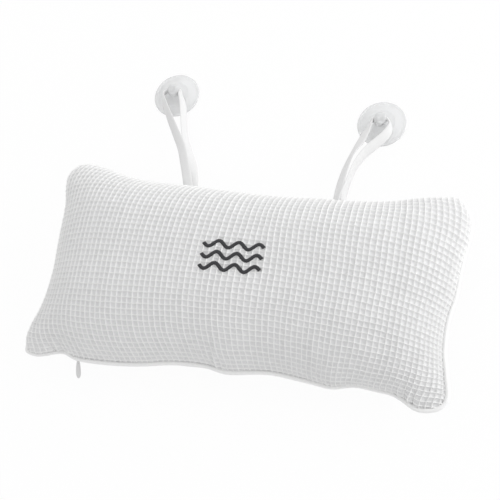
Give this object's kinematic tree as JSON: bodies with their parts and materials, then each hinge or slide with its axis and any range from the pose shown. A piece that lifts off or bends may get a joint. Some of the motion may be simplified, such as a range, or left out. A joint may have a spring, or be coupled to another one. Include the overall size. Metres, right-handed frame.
{
  "type": "bath pillow",
  "caption": "Padded rectangular bath pillow in a waffle-weave zip cover with piped edge, held to the bath by suction cups on short tape straps.",
  "frame": {"origin": "middle of the flat patch of the back panel that the pillow rests on", "axes": "+X along the pillow's long side, from the zip's closed end towards its open end; +Y towards the strapped long edge and the suction cups; +Z out of the embroidered face"},
  "size_m": [0.3964, 0.3326, 0.087],
  "materials": {
    "waffle_cloth": "soft matte waffle weave, small raised ribs in a square grid",
    "piping_cloth": "smooth fine weave, matte",
    "cord": "twisted cotton",
    "casing_cloth": "thin plain weave, matte",
    "filling": "loose soft fibre wadding",
    "zip_tape": "fine woven tape, matte",
    "zip_plastic": "satin moulded plastic",
    "slider_enamel": "light grey satin enamel",
    "strap_tape": "soft woven tape, matte",
    "cup_plastic": "clear soft plastic, glossy",
    "thread": "dark grey satin stitch"
  },
  "bodies": {
    "pillow": {"cover_front": "waffle_cloth", "cover_back": "waffle_cloth", "piping_sleeve": "piping_cloth", "piping_cord": "cord", "pad_casing_front": "casing_cloth", "pad_casing_back": "casing_cloth", "pad_filling": "filling", "zip_tape_front": "zip_tape", "zip_tape_back": "zip_tape", "zip_coil_front": "zip_plastic", "zip_coil_back": "zip_plastic", "zip_stop_left": "zip_plastic", "zip_stop_right": "zip_plastic", "strap_anchor_left": "strap_tape", "strap_anchor_right": "strap_tape", "embroidery_wave_upper": "thread", "embroidery_wave_middle": "thread", "embroidery_wave_lower": "thread"},
    "strap_left": {"strap_left": "strap_tape"},
    "strap_right": {"strap_right": "strap_tape"},
    "cup_left": {"suction_cup_left": "cup_plastic"},
    "cup_right": {"suction_cup_right": "cup_plastic"},
    "slider": {"zip_slider": "slider_enamel"},
    "pull_ring": {"zip_pull_ring": "slider_enamel"},
    "pull": {"zip_pull": "slider_enamel"}
  },
  "joints": [
    {"name": "strap_left_fold", "type": "hinge", "parent": "pillow", "child": "strap_left", "pos_m": [-0.072, 0.08606, 0.03425], "axis": [1, 0, 0], "range_deg": [-75, 80]},
    {"name": "strap_right_fold", "type": "hinge", "parent": "pillow", "child": "strap_right", "pos_m": [0.0745, 0.08617, 0.03425], "axis": [1, 0, 0], "range_deg": [-75, 80]},
    {"name": "cup_left_tilt", "type": "hinge", "parent": "strap_left", "child": "cup_left", "pos_m": [-0.121, 0.2, 0.0108], "axis": [0.9925, 0.1219, 0], "range_deg": [-15, 120]},
    {"name": "cup_right_tilt", "type": "hinge", "parent": "strap_right", "child": "cup_right", "pos_m": [0.0954, 0.182, 0.0108], "axis": [0.9962, 0.0872, 0], "range_deg": [-15, 120]},
    {"name": "zip_slide", "type": "slide", "parent": "pillow", "child": "slider", "axis": [0.9996, 0.0297, 0], "range_m": [0, 0.24]},
    {"name": "zip_ring_swing", "type": "hinge", "parent": "slider", "child": "pull_ring", "pos_m": [-0.14661, -0.09066, 0.02853], "axis": [0.0157, -0.5297, 0.848], "range_deg": [-50, 50]},
    {"name": "zip_pull_swing", "type": "hinge", "parent": "pull_ring", "child": "pull", "pos_m": [-0.14648, -0.09507, 0.02578], "axis": [0.0157, -0.5297, 0.848], "range_deg": [-30, 30]}
  ]
}
